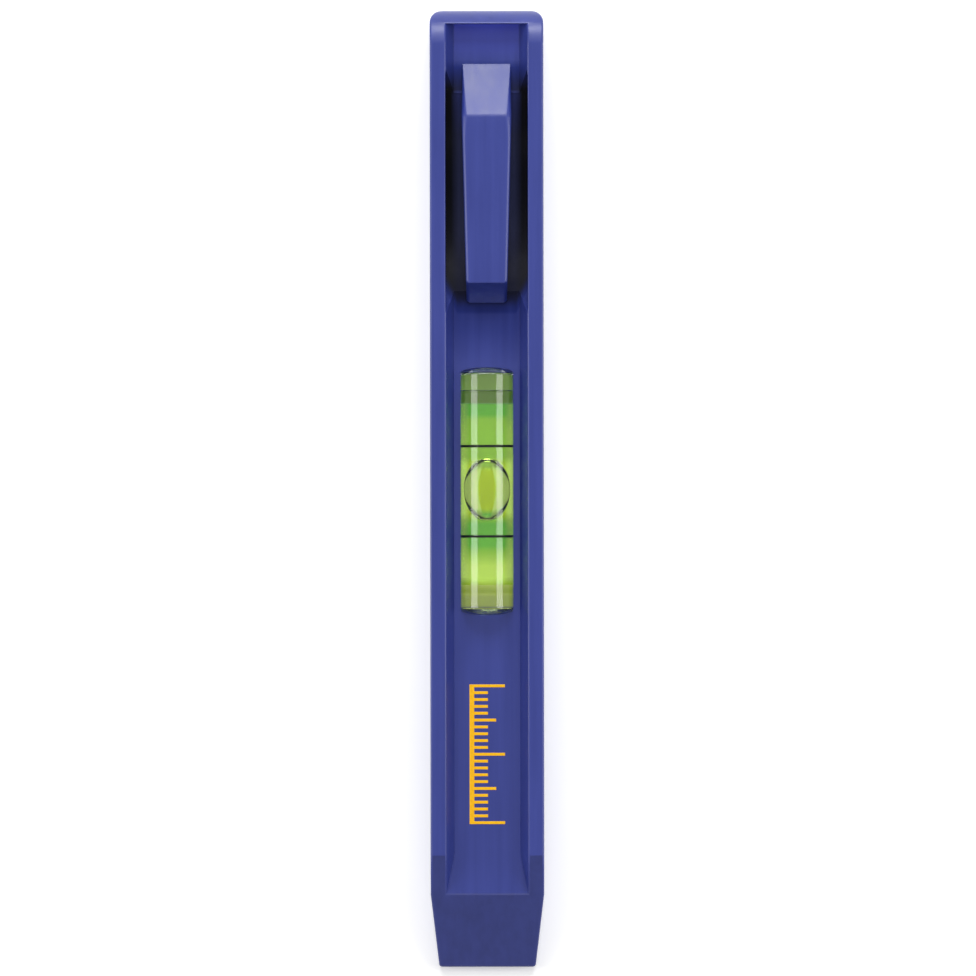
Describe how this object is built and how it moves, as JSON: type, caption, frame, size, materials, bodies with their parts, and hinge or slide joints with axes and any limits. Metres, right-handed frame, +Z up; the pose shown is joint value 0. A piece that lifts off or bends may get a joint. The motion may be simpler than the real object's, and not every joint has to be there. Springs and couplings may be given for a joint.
{
  "type": "pocket level",
  "caption": "Slim blue moulded pocket level with an H-section bar, a wedge nose, a sprung pocket clip and a snap-in green spirit vial with index lines and a running bubble.",
  "frame": {"origin": "middle of the bar's footprint, on the surface that it lies on", "axes": "+Y along the bar towards the clip end, +X across it to the right as read, +Z up towards the reader"},
  "size_m": [0.0166, 0.14, 0.0128],
  "materials": {
    "blue_plastic": "satin moulded ABS",
    "white_backing": "matt",
    "clear_acrylic": "polished clear",
    "index_black": "ink in a groove",
    "green_spirit": "clear dyed liquid",
    "air": "clear"
  },
  "bodies": {
    "bar": {"level_body": "blue_plastic", "vial_backing": "white_backing", "vial_barrel": "clear_acrylic", "vial_plug": "clear_acrylic", "upper_index_line": "index_black", "lower_index_line": "index_black", "vial_liquid": "green_spirit"},
    "clip": {"pocket_clip": "blue_plastic"},
    "bubble": {"air_bubble": "air"}
  },
  "joints": [
    {"name": "clip_flex", "type": "hinge", "parent": "bar", "child": "clip", "pos_m": [0, 0.0613, 0.007], "axis": [-1, 0, 0], "range_deg": [0, 6], "stiffness_Nm_per_rad": 1},
    {"name": "bubble_travel", "type": "slide", "parent": "bar", "child": "bubble", "axis": [0, 1, 0], "range_m": [-0.0092, 0.0078], "stiffness_N_per_m": 0.01}
  ]
}
